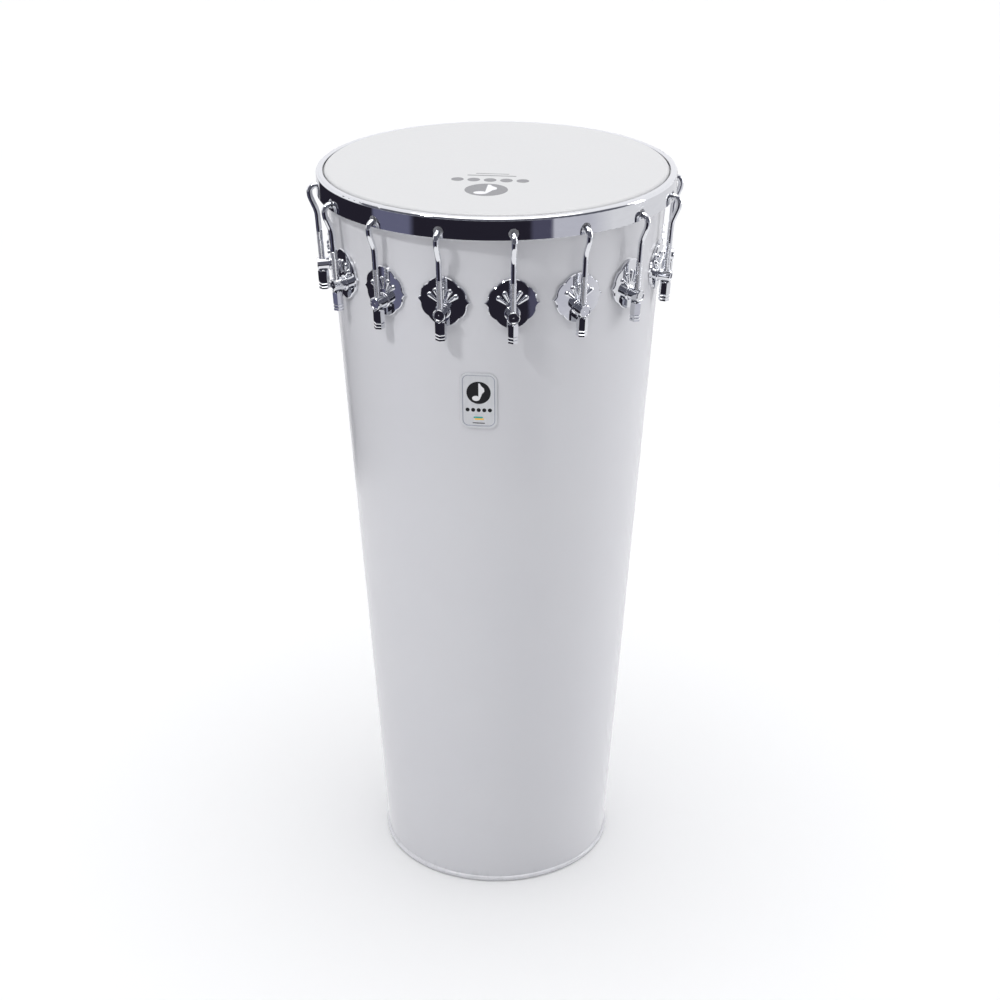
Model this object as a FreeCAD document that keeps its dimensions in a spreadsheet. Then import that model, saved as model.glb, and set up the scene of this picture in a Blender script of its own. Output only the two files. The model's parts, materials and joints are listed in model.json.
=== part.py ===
"""A timbal: a tall tapered hand drum, 800 mm high with a 14 inch head and sixteen tuning hooks.

Frame: origin at the centre of the base, +Z up, the badge faces -Y.
Every piece that repeats round the drum is made once on the +X side and is placed by a turn about Z.
"""
import FreeCAD
import Part

import math
import os
import re

import Sketcher
from FreeCAD import Placement, Rotation, Vector

doc = FreeCAD.newDocument("Timbal")

# ------------------------------------------------------- driving dimensions, millimetres and degrees

DIMENSIONS = [
    # shell: a straight cone of sheet
    ("height", 800.0, "floor to the playing surface"),
    ("base_radius", 127.44, "outside of the sheet, carried down to the floor"),
    ("taper", 3.57, "slope of the shell's side"),
    ("sheet", 1.5, "thickness of the shell's sheet"),
    ("curl_radius", 3.0, "outside of the curled bearing edge"),
    ("curl_end", 250.0, "where the curl ends, turned from outwards over the top"),
    ("bead_radius", 3.0, "outside of the bottom bead"),
    ("bead_bore", 1.8, "inside of the bottom bead"),
    ("bead_centre", 127.2, "radius of the bead's own centre"),
    ("bead_end", 165.0, "where the bead's sheet ends, turned from outwards over the top"),
    ("bead_land", 15.0, "half angle of the flat that the drum stands on"),
    ("wire_gap", 0.05, "slack round each edge wire"),
    # head
    ("film", 0.5, "thickness of the film"),
    ("film_gap", 0.05, "between the film and what it lies against"),
    ("flesh_inner", 178.6, "flesh hoop, inside radius"),
    ("flesh_outer", 182.8, "flesh hoop, outside radius"),
    ("flesh_sheet", 0.8, "flesh hoop, thickness of the channel"),
    ("flesh_bottom", 788.0, "flesh hoop, underside"),
    ("flesh_lip", 792.4, "top of the channel's inner wall"),
    ("film_step", 793.0, "underside of the film where it crosses the inner wall"),
    ("film_edge_radius", 181.0, "where the film's edge goes down into the channel"),
    ("film_edge_bottom", 789.8, "end of the film"),
    ("film_turn", 1.0, "inside radius of the film's two turns"),
    ("resin_top", 792.0, "level of the resin in the channel"),
    # counter-hoop
    ("hoop_outer", 186.0, "outside radius"),
    ("hoop_inner", 179.0, "inside radius of the flange"),
    ("hoop_sheet", 2.0, "thickness"),
    ("hoop_top", 798.5, "top of the flange"),
    ("hoop_depth", 22.8, "height of the hoop"),
    ("hoop_shoulder", 3.0, "rounding of the outer top corner"),
    ("hoop_lip", 0.8, "rounding of the small corners"),
    ("hoop_hole", 10.0, "diameter of the holes for the hooks"),
    ("hoop_hole_level", 783.0, "height of the holes"),
    # the tuning stations
    ("mount_gap", 0.05, "between the shell and the back of what is mounted on it"),
    ("stations", 16.0, "number of tuning stations"),
    ("first_station", 11.25, "turn of the first one from the badge"),
    # lug, in its own frame: x out of the shell, z up along the shell's side
    ("lug_level", 709.0, "height of the lug plate's centre"),
    ("lug_plate", 3.0, "thickness of the plate"),
    ("lug_width", 55.0, "between the side tips"),
    ("lug_half_height", 26.0, "centre to the top or bottom of the plate"),
    ("notch_side", 15.7, "notch, sideways from the centre"),
    ("notch_rise", 17.2, "notch, up or down from the centre"),
    ("lobe_side", 23.6, "where the side lobe turns into the tip, sideways"),
    ("lobe_rise", 4.5, "the same point, up or down"),
    ("lobe_radius", 13.0, "rounding of the side lobe"),
    ("tip_radius", 7.0, "hollow curve beside the side tip"),
    ("lug_bevel", 0.7, "chamfer of the plate's front edge"),
    ("post_drop", 9.7, "post's axis below the plate's centre"),
    ("post_radius", 6.4, "radius of the post"),
    ("post_reach", 16.6, "shell to the post's end"),
    ("post_chamfer", 0.7, "chamfer round the post's end"),
    ("post_recess", 5.2, "radius of the recess in the post's end"),
    ("post_recess_depth", 0.7, "depth of that recess"),
    ("post_root", 1.6, "height of the collar at the post's root"),
    ("rib_count", 5.0, "ribs of the fan above the post"),
    ("rib_spread", 26.0, "angle between two ribs"),
    ("rib_length", 9.6, "between the centres of a rib's two round ends"),
    ("rib_tip", 2.8, "radius of its outer end"),
    ("rib_foot", 1.6, "radius of its inner end"),
    ("rib_sink", 0.9, "its axis below the plate's face"),
    ("rib_reach", 12.2, "fan's centre to the middle of a rib"),
    ("fan_drop", 4.2, "fan's centre below the plate's centre"),
    # tuning nut, on the rod's axis
    ("rod_offset", 11.3, "shell to the rod's axis"),
    ("rod_radius", 3.0, "radius of the hook's rod"),
    ("thread_gap", 0.1, "between the rod and the nut's bore"),
    ("rod_slack", 0.3, "between the rod and the post's or washer's bore"),
    ("washer_radius", 5.2, "washer under the post"),
    ("washer_height", 1.0, "its thickness"),
    ("nut_gap", 0.05, "between the washer and its neighbours"),
    ("nut_flats", 10.0, "hexagon across flats"),
    ("nut_length", 19.3, "height of the nut"),
    ("nut_closed", 2.4, "solid end below the bore"),
    ("nut_chamfer", 0.7, "chamfer of the nut's top corners"),
    ("nut_end", 2.7, "height of the ridge at the nut's lower end, sloped flank included"),
    ("nut_ridge", 3.2, "height of the ridge between the two grooves, sloped flanks included"),
    ("nut_groove", 0.2, "height of a groove's floor"),
    ("groove_depth", 0.8, "depth of a groove, and height of each of its sloped flanks"),
    # hook
    ("bend_radius", 6.5, "centreline of the bend over the hoop"),
    ("bend_centre", 186.5, "radius at which the bend is centred"),
    ("bend_level", 775.95, "height at which it is centred"),
    ("tip_length", 1.0, "straight end inside the hoop"),
    ("hook_knee", 20.0, "centreline radius below the bend"),
    ("hook_lean", 23.0, "steepest lean of the rod below the bend"),
    ("hook_ankle", 30.0, "centreline radius where the rod turns down along the shell"),
    ("rod_bottom", -26.2, "lower end of the rod, from the plate's centre"),
    # fasteners inside the shell
    ("screw_radius", 2.0, "lug screw"),
    ("screw_gap", 0.05, "slack round the screw in the lug"),
    ("screw_hole", 2.3, "radius of the hole in the shell"),
    ("screw_head", 3.6, "radius of the screw's head"),
    ("screw_head_height", 2.4, "height of the screw's head"),
    ("screw_depth", 2.6, "shell to the screw's point"),
    ("screw_slot", 1.0, "width of the cross recess"),
    ("upper_screw", 10.0, "upper screw above the plate's centre"),
    ("seat_gap", 0.1, "washer's flat face to the curved sheet"),
    ("flat_washer", 4.5, "radius of the washer under the screw's head"),
    ("flat_washer_height", 0.8, "its thickness"),
    # badge
    ("badge_width", 37.0, "width"),
    ("badge_length", 60.0, "height"),
    ("badge_corner", 8.5, "corner radius"),
    ("badge_level", 604.0, "height of its centre"),
    ("badge_plate", 0.7, "thickness of the face"),
    ("badge_rim", 0.5, "height of the rim over the face"),
    ("badge_rim_width", 2.0, "width of the rim"),
]

sheet = doc.addObject("Spreadsheet::Sheet", "Dims")
for row, (alias, value, note) in enumerate(DIMENSIONS, start=1):
    sheet.set(f"A{row}", alias)
    sheet.set(f"B{row}", repr(value))
    sheet.set(f"C{row}", note)
    sheet.setAlias(f"B{row}", alias)
doc.recompute()


# ---------------------------------------------------------------- expressions and drawing

ALIASES = {alias for alias, _, _ in DIMENSIONS}


def cells(text):
    """An expression whose bare aliases are written as cells of the sheet."""
    return re.sub(r"[a-z_]+", lambda word: "Dims." + word[0] if word[0] in ALIASES else word[0], text)


def value(text):
    """What an expression comes to."""
    return float(sheet.evalExpression(cells(text)))


def bind(thing, **properties):
    """Ties properties of an object to expressions."""
    for name, text in properties.items():
        thing.setExpression(name, cells(text))


def place(thing, base=("0", "0", "0"), axis=Vector(0, 0, 1), angle="0"):
    """Ties a placement, a turn about an axis and then a shift, to expressions."""
    thing.Placement = Placement(Vector(*[value(text) for text in base]), Rotation(axis, value(angle)))
    for letter, text in zip("xyz", base):
        thing.setExpression(f"Placement.Base.{letter}", cells(text))
    thing.setExpression("Placement.Rotation.Angle", cells(angle))
    return thing


def pin(sketch, kind, text, *where):
    """Adds a constraint whose value is an expression."""
    size = value(text)
    if kind == "Angle":
        size = math.radians(size)
        text = f"({text}) * 1 deg"
    index = sketch.addConstraint(Sketcher.Constraint(kind, *where, size))
    sketch.setExpression(f"Constraints[{index}]", cells(text))


def pin_point(sketch, geometry, end, x, y):
    """Fixes one end of a line or arc at a place from the sketch's origin."""
    pin(sketch, "DistanceX", x, -1, 1, geometry, end)
    pin(sketch, "DistanceY", y, -1, 1, geometry, end)


def arc_between(start, stop, radius):
    """The shorter arc between two points, counter-clockwise for a radius over 0 and clockwise under it."""
    chord = stop - start
    rise = math.sqrt(max(radius**2 - chord.Length**2 / 4, 0.0))
    side = Vector(-chord.y, chord.x, 0).normalize() * math.copysign(rise, radius)
    centre = (start + stop) / 2 + side
    first, last = (start, stop) if radius > 0 else (stop, start)
    angles = [math.atan2(p.y - centre.y, p.x - centre.x) for p in (first, last)]
    if angles[1] < angles[0]:
        angles[1] += 2 * math.pi
    return Part.ArcOfCircle(Part.Circle(centre, Vector(0, 0, 1), abs(radius)), *angles)


def draw(sketch, points):
    """Draws a closed outline. A point is (x, y), reached by a line, or (x, y, radius), reached by an arc:
    counter-clockwise, or clockwise where the radius starts with a minus."""
    places = [Vector(value(point[0]), value(point[1]), 0) for point in points]
    last_end = None
    first_start = None
    for index, point in enumerate(points):
        start, stop = places[index - 1], places[index]
        if len(point) == 2:
            geometry = sketch.addGeometry(Part.LineSegment(start, stop))
            begin, end = (geometry, 1), (geometry, 2)
        else:
            clockwise = point[2].startswith("-")
            radius = point[2].lstrip("-")
            size = value(radius)
            geometry = sketch.addGeometry(arc_between(start, stop, -size if clockwise else size))
            begin, end = ((geometry, 2), (geometry, 1)) if clockwise else ((geometry, 1), (geometry, 2))
            pin(sketch, "Radius", radius, geometry)
        pin_point(sketch, *end, point[0], point[1])
        if last_end:
            sketch.addConstraint(Sketcher.Constraint("Coincident", *last_end, *begin))
        first_start = first_start or begin
        last_end = end
    sketch.addConstraint(Sketcher.Constraint("Coincident", *last_end, *first_start))


def sketch_on(body, role, name):
    """An empty sketch on one of a body's own origin planes."""
    sketch = body.newObject("Sketcher::SketchObject", name)
    plane = next(feature for feature in body.Origin.OriginFeatures if feature.Role == role)
    sketch.AttachmentSupport = [(plane, "")]
    sketch.MapMode = "FlatFace"
    return sketch


def revolved(name, points, axis="V_Axis"):
    """A body turned from an outline in the XZ plane, about Z (V_Axis) or about X (H_Axis)."""
    body = doc.addObject("PartDesign::Body", name)
    sketch = sketch_on(body, "XZ_Plane", name + "_profile")
    draw(sketch, points)
    turn = body.newObject("PartDesign::Revolution", name + "_turn")
    turn.Profile = sketch
    turn.ReferenceAxis = (sketch, [axis])
    turn.Angle = 360
    doc.recompute()
    return body


def padded(name, points, length, start="0"):
    """A body padded along +X from an outline in the YZ plane."""
    body = doc.addObject("PartDesign::Body", name)
    sketch = sketch_on(body, "YZ_Plane", name + "_outline")
    sketch.setExpression("AttachmentOffset.Base.z", cells(start))
    draw(sketch, points)
    pad = body.newObject("PartDesign::Pad", name + "_pad")
    pad.Profile = sketch
    bind(pad, Length=length)
    doc.recompute()
    return body


def primitive(kind, name, **sizes):
    """A Part primitive with bound sizes."""
    thing = doc.addObject("Part::" + kind, name)
    bind(thing, **sizes)
    return thing


def combined(kind, name, first, *others):
    """A Part boolean: Cut and Common take two shapes, MultiFuse any number."""
    thing = doc.addObject("Part::" + kind, name)
    if kind == "MultiFuse":
        thing.Shapes = [first, *others]
    else:
        thing.Base = first
        thing.Tool = others[0]
    doc.recompute()
    return thing


# ---------------------------------------------------------------- where things are


def side_at(level):
    """Radius of the shell's outside at a level."""
    return f"(base_radius + tan(taper) * ({level}))"


def on_side(thing, level, out="0", up="0"):
    """Places a piece made in the frame of the shell's side: x straight out of the sheet, z up along it."""
    across = f"{side_at(level)} + ({out}) * cos(taper) + ({up}) * sin(taper)"
    height = f"{level} - ({out}) * sin(taper) + ({up}) * cos(taper)"
    return place(thing, (across, "0", height), Vector(0, 1, 0), "taper")


def station_turn(index):
    """Turn about Z that takes a piece from the +X side to a tuning station; the badge's side is -Y."""
    return f"first_station + 360 / stations * {index} - 90"


def at_stations(name, piece, places):
    """One node with a copy of a piece for every station and every place within it."""
    group = doc.addObject("App::Link", name)
    group.setLink(piece)
    group.ElementCount = STATIONS * len(places)
    group.ShowElement = False
    group.PlacementList = [
        Placement(Vector(), Rotation(Vector(0, 0, 1), value(station_turn(index)))) * spot
        for index in range(STATIONS)
        for spot in places
    ]
    return group


def each_station(name, piece):
    """A node of its own at every station: name_01, name_02 and on."""
    copies = []
    for index in range(STATIONS):
        copy = doc.addObject("App::Link", f"{name}_{index + 1:02d}")
        copy.setLink(piece)
        copy.LinkTransform = True
        place(copy, angle=station_turn(index))
        copies.append(copy)
    return copies


STATIONS = int(value("stations"))
CURL_LEVEL = "(height - film - film_gap - curl_radius)"
CURL_RADIUS = f"({side_at(CURL_LEVEL)} - curl_radius / cos(taper))"
BEAD_LEVEL = "(bead_radius * cos(bead_land))"
WASHER_TOP = "(0 - post_drop - post_radius - nut_gap)"
NUT_TOP = f"({WASHER_TOP} - washer_height - nut_gap)"
NUT_BOTTOM = f"({NUT_TOP} - nut_length)"
SCREW_ROWS = ("upper_screw", "0 - post_drop")
SEAT = "(0 - sheet - seat_gap)"
HEAD_SEAT = f"({SEAT} - flat_washer_height)"


# ---------------------------------------------------------------- shell


def make_shell_sheet():
    """The cone of sheet with its curled bearing edge and its rolled bottom bead, in one turned outline."""

    def curl(radius, angle):
        """A point on a circle round the curl's centre."""
        return f"{CURL_RADIUS} + ({radius}) * cos({angle})", f"{CURL_LEVEL} + ({radius}) * sin({angle})"

    def bead(radius, angle):
        """A point on a circle round the bead's centre."""
        return f"bead_centre + ({radius}) * cos({angle})", f"{BEAD_LEVEL} + ({radius}) * sin({angle})"

    def wall_into_bead(inset, radius):
        """Where a face of the wall, inset from its outside, comes down to a circle round the bead's centre."""
        out = f"(({side_at(BEAD_LEVEL)} - bead_centre) * cos(taper) - ({inset}))"
        up = f"sqrt(({radius}) ^ 2 - {out} ^ 2)"
        return (
            f"bead_centre + {out} * cos(taper) + {up} * sin(taper)",
            f"{BEAD_LEVEL} - {out} * sin(taper) + {up} * cos(taper)",
        )

    inside_curl = "curl_radius - sheet"
    return revolved(
        "shell_sheet",
        [
            curl("curl_radius", "0 - taper"),
            (*curl("curl_radius", "90"), "curl_radius"),
            (*curl("curl_radius", "curl_end"), "curl_radius"),
            curl(inside_curl, "curl_end"),
            (*curl(inside_curl, "90"), "-curl_radius - sheet"),
            (*curl(inside_curl, "0 - taper"), "-curl_radius - sheet"),
            wall_into_bead("sheet", "bead_bore"),
            (*bead("bead_bore", "0"), "-bead_bore"),
            (*bead("bead_bore", "0 - 120"), "-bead_bore"),
            (*bead("bead_bore", "bead_end"), "-bead_bore"),
            bead("bead_radius", "bead_end"),
            (*bead("bead_radius", "0 - 90 - bead_land"), "bead_radius"),
            bead("bead_radius", "0 - 90 + bead_land"),
            (*wall_into_bead("0", "bead_radius"), "bead_radius"),
        ],
    )


def make_shell():
    """The sheet with two screw holes at every station."""
    hole = primitive("Cylinder", "screw_hole", Radius="screw_hole", Height="4 * sheet")
    spots = [lug_spot("0 - 3 * sheet", up, across=True) for up in SCREW_ROWS]
    holes = at_stations("screw_holes", hole, spots)
    return combined("Cut", "shell", make_shell_sheet(), holes)


def lug_spot(out, up, across=False):
    """Placement in the +X side's lug frame; across turns a piece's own Z to point out of the shell."""
    frame = Placement(
        Vector(value(side_at("lug_level")), 0, value("lug_level")), Rotation(Vector(0, 1, 0), value("taper"))
    )
    turn = Rotation(Vector(0, 1, 0), 90 if across else 0)
    return frame * Placement(Vector(value(out), 0, value(up)), turn)


def make_edge_wires():
    """The steel wires that the sheet's two edges are rolled round."""
    lower = primitive("Torus", "base_edge_wire", Radius1="bead_centre", Radius2="bead_bore - wire_gap")
    thickness = "curl_radius - sheet - wire_gap"
    upper = primitive("Torus", "bearing_edge_wire", Radius1=CURL_RADIUS, Radius2=thickness)
    place(lower, ("0", "0", BEAD_LEVEL))
    place(upper, ("0", "0", CURL_LEVEL))
    return [lower, upper]


# ---------------------------------------------------------------- head and hoops


def make_head_film():
    """Flat film, rounded over the bearing edge, down the collar and over the flesh hoop's inner wall."""
    inside = f"({CURL_RADIUS} + curl_radius + film_gap)"
    return revolved(
        "head_film",
        [
            ("0", "height - film"),
            (CURL_RADIUS, "height - film"),
            (inside, CURL_LEVEL, "-curl_radius + film_gap"),
            (inside, "film_step + film_turn + film"),
            (f"{inside} + film_turn + film", "film_step", "film_turn + film"),
            ("film_edge_radius - film_turn", "film_step"),
            ("film_edge_radius", "film_step - film_turn", "-film_turn"),
            ("film_edge_radius", "film_edge_bottom"),
            ("film_edge_radius + film", "film_edge_bottom"),
            ("film_edge_radius + film", "film_step - film_turn"),
            ("film_edge_radius - film_turn", "film_step + film", "film_turn + film"),
            (f"{inside} + film_turn + film", "film_step + film"),
            (f"{inside} + film", "film_step + film_turn + film", "-film_turn"),
            (f"{inside} + film", CURL_LEVEL),
            (CURL_RADIUS, "height", "curl_radius + film_gap + film"),
            ("0", "height"),
        ],
    )


def make_flesh_hoop():
    """A channel, open at the top, whose outer wall the counter-hoop's flange presses on."""
    under_flange = "hoop_top - hoop_sheet"
    return revolved(
        "flesh_hoop",
        [
            ("flesh_inner", "flesh_bottom"),
            ("flesh_outer", "flesh_bottom"),
            ("flesh_outer", under_flange),
            ("flesh_outer - flesh_sheet", under_flange),
            ("flesh_outer - flesh_sheet", "flesh_bottom + flesh_sheet"),
            ("flesh_inner + flesh_sheet", "flesh_bottom + flesh_sheet"),
            ("flesh_inner + flesh_sheet", "flesh_lip"),
            ("flesh_inner", "flesh_lip"),
        ],
    )


def make_head_resin():
    """The resin in the channel, with the slot that the film's edge is set in."""
    floor = "flesh_bottom + flesh_sheet"
    slot_floor = "film_edge_bottom - film_gap"
    near, far = "flesh_inner + flesh_sheet", "flesh_outer - flesh_sheet"
    slot_near, slot_far = "film_edge_radius - film_gap", "film_edge_radius + film + film_gap"
    return revolved(
        "head_resin",
        [
            (near, floor),
            (far, floor),
            (far, "resin_top"),
            (slot_far, "resin_top"),
            (slot_far, slot_floor),
            (slot_near, slot_floor),
            (slot_near, "resin_top"),
            (near, "resin_top"),
        ],
    )


def make_counter_hoop():
    """The flanged hoop, with a hole for every hook."""
    bottom = "(hoop_top - hoop_depth)"
    inner = "(hoop_outer - hoop_sheet)"
    under_flange = "(hoop_top - hoop_sheet)"
    hoop = revolved(
        "counter_hoop",
        [
            (f"{inner} + hoop_lip", bottom, "hoop_lip"),
            ("hoop_outer - hoop_lip", bottom),
            ("hoop_outer", f"{bottom} + hoop_lip", "hoop_lip"),
            ("hoop_outer", "hoop_top - hoop_shoulder"),
            ("hoop_outer - hoop_shoulder", "hoop_top", "hoop_shoulder"),
            ("hoop_inner + hoop_lip", "hoop_top"),
            ("hoop_inner", "hoop_top - hoop_lip", "hoop_lip"),
            ("hoop_inner", f"{under_flange} + hoop_lip"),
            ("hoop_inner + hoop_lip", under_flange, "hoop_lip"),
            (f"{inner} - hoop_lip", under_flange),
            (inner, f"{under_flange} - hoop_lip", "-hoop_lip"),
            (inner, f"{bottom} + hoop_lip"),
        ],
    )
    before = hoop.Shape.Volume
    ring = sketch_on(hoop, "YZ_Plane", "hook_hole_outline")
    circle = ring.addGeometry(Part.Circle(Vector(0, value("hoop_hole_level"), 0), Vector(0, 0, 1), 4))
    pin(ring, "Radius", "hoop_hole / 2", circle)
    pin_point(ring, circle, 3, "0", "hoop_hole_level")
    hole = hoop.newObject("PartDesign::Pocket", "hook_hole")
    hole.Profile = ring
    hole.Reversed = True
    bind(hole, Length="hoop_outer + hoop_sheet")
    doc.recompute()
    pattern = hoop.newObject("PartDesign::PolarPattern", "hook_holes")
    pattern.Originals = [hole]
    pattern.Axis = (next(line for line in hoop.Origin.OriginFeatures if line.Role == "Z_Axis"), [""])
    pattern.Angle = 360
    pattern.Occurrences = STATIONS
    hoop.Tip = pattern
    doc.recompute()
    plug = math.pi * value("hoop_hole / 2") ** 2 * value("hoop_sheet") * STATIONS
    assert abs(before - hoop.Shape.Volume - plug) < 0.02 * plug, "the hook holes aren't all cut"
    return place(hoop, angle="first_station")


# ---------------------------------------------------------------- lug


def side_cone(name, offset):
    """A solid cone whose face stands off the shell's outside by an offset."""
    out = f"({offset}) / cos(taper)"
    foot = f"base_radius + {out}"
    top = f"{side_at('height')} + {out}"
    return primitive("Cone", name, Radius1=foot, Radius2=top, Height="height")


def make_lug():
    """A scalloped plate bent to the shell, with a fan of ribs and the round post that holds the rod."""
    crown = "((notch_side ^ 2 + (lug_half_height - notch_rise) ^ 2) / (2 * (lug_half_height - notch_rise)))"
    blank = padded(
        "lug_blank",
        [
            ("0 - notch_side", "notch_rise", crown),
            ("0 - lobe_side", "lobe_rise", "lobe_radius"),
            ("0 - lug_width / 2", "0", "-tip_radius"),
            ("0 - lobe_side", "0 - lobe_rise", "-tip_radius"),
            ("0 - notch_side", "0 - notch_rise", "lobe_radius"),
            ("notch_side", "0 - notch_rise", crown),
            ("lobe_side", "0 - lobe_rise", "lobe_radius"),
            ("lug_width / 2", "0", "-tip_radius"),
            ("lobe_side", "lobe_rise", "-tip_radius"),
            ("notch_side", "notch_rise", "lobe_radius"),
        ],
        "5 * lug_plate",
        "0 - 2 * lug_plate",
    )
    on_side(blank, "lug_level")
    back = side_cone("lug_back", "mount_gap")
    band = combined("Cut", "lug_band", side_cone("lug_front", "lug_plate"), back)
    plate = bevelled(combined("Common", "lug_plate", blank, band))

    dimple = "post_recess_depth * 0.6"
    post = revolved(
        "lug_post",
        [
            ("lug_plate / 3", "0"),
            ("post_reach - post_recess_depth - " + dimple, "0"),
            ("post_reach - post_recess_depth", "post_recess_depth"),
            ("post_reach - post_recess_depth", "post_recess - post_recess_depth / 2"),
            ("post_reach", "post_recess"),
            ("post_reach", "post_radius - post_chamfer"),
            ("post_reach - post_chamfer", "post_radius"),
            ("lug_plate + post_root", "post_radius"),
            ("lug_plate", "post_radius + post_root", "post_root"),
            ("lug_plate / 3", "post_radius + post_root"),
        ],
        "H_Axis",
    )
    place(post, ("0", "0", "0 - post_drop"))
    ribs = [rib(index) for index in range(int(value("rib_count")))]
    raised = on_side(combined("MultiFuse", "lug_raised", post, *ribs), "lug_level")
    relief = combined("Cut", "lug_relief", raised, side_cone("lug_middle", "lug_plate / 2"))

    bore = primitive("Cylinder", "rod_bore", Radius="rod_radius + rod_slack", Height="4 * post_radius")
    place(bore, ("rod_offset", "0", "0 - post_drop - 2 * post_radius"))
    threads = []
    for name, up in zip(("upper_thread", "lower_thread"), SCREW_ROWS):
        depth = "screw_depth + screw_gap + 2 * sheet"
        thread = primitive("Cylinder", name, Radius="screw_radius + screw_gap", Height=depth)
        threads.append(place(thread, ("0 - 2 * sheet", "0", up), Vector(0, 1, 0), "90"))
    drill = on_side(combined("MultiFuse", "lug_drill", bore, *threads), "lug_level")
    return combined("Cut", "lug", combined("MultiFuse", "lug_cast", plate, relief), drill)


def bevelled(plate):
    """The plate with its front edge chamfered all the way round."""
    front = value(side_at("0")) + value("lug_plate / cos(taper)")
    slope = value("tan(taper)")
    edges = []
    for index, edge in enumerate(plate.Shape.Edges, start=1):
        spots = [edge.valueAt(edge.FirstParameter + share * (edge.LastParameter - edge.FirstParameter))
                 for share in (0.1, 0.5, 0.9)]
        if all(abs(math.hypot(spot.x, spot.y) - front - slope * spot.z) < 0.01 for spot in spots):
            edges.append((index, value("lug_bevel"), value("lug_bevel")))
    chamfer = doc.addObject("Part::Chamfer", "lug_plate_bevelled")
    chamfer.Base = plate
    chamfer.Edges = edges
    doc.recompute()
    assert edges and chamfer.Shape.Volume < plate.Shape.Volume, "the plate's edge isn't chamfered"
    return chamfer


def rib(index):
    """One rib of the fan: a round-ended cone half sunk in the plate, pointing away from the post."""
    lean = f"rib_spread * ({index} - (rib_count - 1) / 2)"
    body = revolved(
        f"rib_{index + 1}",
        [
            ("rib_foot", "0 - rib_length / 2", "rib_foot"),
            ("rib_tip", "rib_length / 2"),
            ("0", "rib_length / 2 + rib_tip", "rib_tip"),
            ("0", "0 - rib_length / 2 - rib_foot"),
        ],
    )
    spot = ("lug_plate - rib_sink", f"0 - rib_reach * sin({lean})", f"rib_reach * cos({lean}) - fan_drop")
    return place(body, spot, Vector(1, 0, 0), lean)


# ---------------------------------------------------------------- nut, washer and hook


def hexagon(name, flats, bottom, height, sloped=()):
    """A hexagonal bar about Z with a corner on the X axis.

    sloped names the levels at which its end is chamfered.
    """
    bar = primitive("Prism", name, Circumradius=f"({flats}) / 2 / cos(30)", Height=height)
    bar.Polygon = 6
    place(bar, ("0", "0", bottom))
    if not sloped:
        return bar
    doc.recompute()
    levels = [value(level) for level in sloped]
    depth = value("groove_depth")
    chamfer = doc.addObject("Part::Chamfer", name + "_sloped")
    chamfer.Base = bar
    chamfer.Edges = [
        (index, depth, depth)
        for index, edge in enumerate(bar.Shape.Edges, start=1)
        if any(all(abs(corner.Z - level) < 1e-6 for corner in edge.Vertexes) for level in levels)
    ]
    doc.recompute()
    assert chamfer.Shape.Volume < bar.Shape.Volume, "the bar's end isn't chamfered"
    return chamfer


def make_nut():
    """A long closed hexagon nut with two V grooves near its lower end and a chamfered top."""
    core_flats = "nut_flats - 1.9 * groove_depth"
    end_top = f"{NUT_BOTTOM} + nut_end"
    ridge_bottom = f"{end_top} + nut_groove"
    ridge_top = f"{ridge_bottom} + nut_ridge"
    main_bottom = f"{ridge_top} + nut_groove"
    corner = "(nut_flats / 2 / cos(30))"
    bars = [
        hexagon("nut_core", core_flats, NUT_BOTTOM, "nut_length - nut_chamfer"),
        hexagon("nut_end", "nut_flats", NUT_BOTTOM, "nut_end", [end_top]),
        hexagon("nut_ridge", "nut_flats", ridge_bottom, "nut_ridge", [ridge_bottom, ridge_top]),
        hexagon("nut_main", "nut_flats", main_bottom, f"{NUT_TOP} - ({main_bottom})", [main_bottom]),
    ]
    envelope = revolved(
        "nut_envelope",
        [
            ("0", NUT_BOTTOM),
            (f"{corner} - nut_chamfer / 3", NUT_BOTTOM),
            (corner, f"{NUT_BOTTOM} + nut_chamfer / 3"),
            (corner, f"{NUT_TOP} - nut_chamfer / 2"),
            (f"{corner} - nut_chamfer", NUT_TOP),
            ("0", NUT_TOP),
        ],
    )
    solid = combined("Common", "nut_solid", combined("MultiFuse", "nut_bars", *bars), envelope)
    bore = primitive("Cylinder", "nut_thread", Radius="rod_radius + thread_gap", Height="nut_length")
    place(bore, ("0", "0", f"{NUT_BOTTOM} + nut_closed"))
    return on_side(combined("Cut", "nut", solid, bore), "lug_level", "rod_offset")


def make_nut_washer():
    """The washer between a nut and its post."""
    inner = "(rod_radius + rod_slack)"
    return revolved(
        "nut_washer",
        [
            (inner, f"{WASHER_TOP} - washer_height"),
            ("washer_radius", f"{WASHER_TOP} - washer_height"),
            ("washer_radius", f"{WASHER_TOP} - washer_height / 4"),
            ("washer_radius - washer_height / 4", WASHER_TOP),
            (inner, WASHER_TOP),
        ],
    )


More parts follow.
